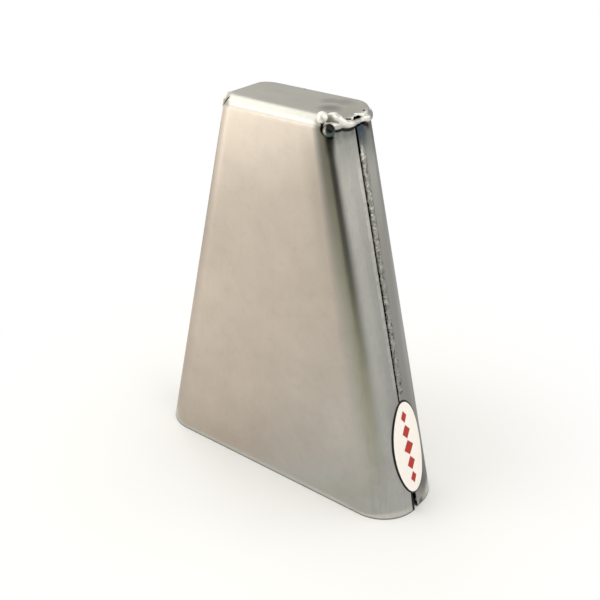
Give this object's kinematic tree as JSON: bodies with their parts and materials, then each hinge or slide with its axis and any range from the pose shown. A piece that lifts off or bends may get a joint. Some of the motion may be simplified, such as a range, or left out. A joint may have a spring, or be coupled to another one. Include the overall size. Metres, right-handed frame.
{
  "type": "bongo bell",
  "caption": "Hand-held bongo cowbell: a flat tapering steel bell with an open mouth, folded crown, welded side seams and an oval label on one side, struck with a stick.",
  "frame": {"origin": "middle of the mouth, on the plane that the bell stands on", "axes": "+Z from the mouth up to the crown, +Y from the front playing face to the rear face, +X to the side with the label"},
  "size_m": [0.1656, 0.0506, 0.2053],
  "materials": {
    "sheet_steel": "satin bare rolled steel",
    "weld_metal": "bright rippled weld bead",
    "burnt_weld": "dark glossy oxide on weld metal",
    "label_film": "satin white vinyl film with a black border"
  },
  "bodies": {
    "root": {"front_shell": "sheet_steel", "rear_shell": "sheet_steel", "right_seam_weld": "weld_metal", "left_seam_weld": "weld_metal", "right_crown_weld": "weld_metal", "left_crown_weld": "weld_metal", "rear_crown_weld": "weld_metal", "front_right_corner_weld": "weld_metal", "rear_right_corner_weld": "weld_metal", "rear_left_corner_weld": "weld_metal", "right_mouth_tack": "weld_metal", "left_mouth_tack": "weld_metal", "front_right_weld_drip": "burnt_weld", "oval_label": "label_film"}
  },
  "joints": []
}
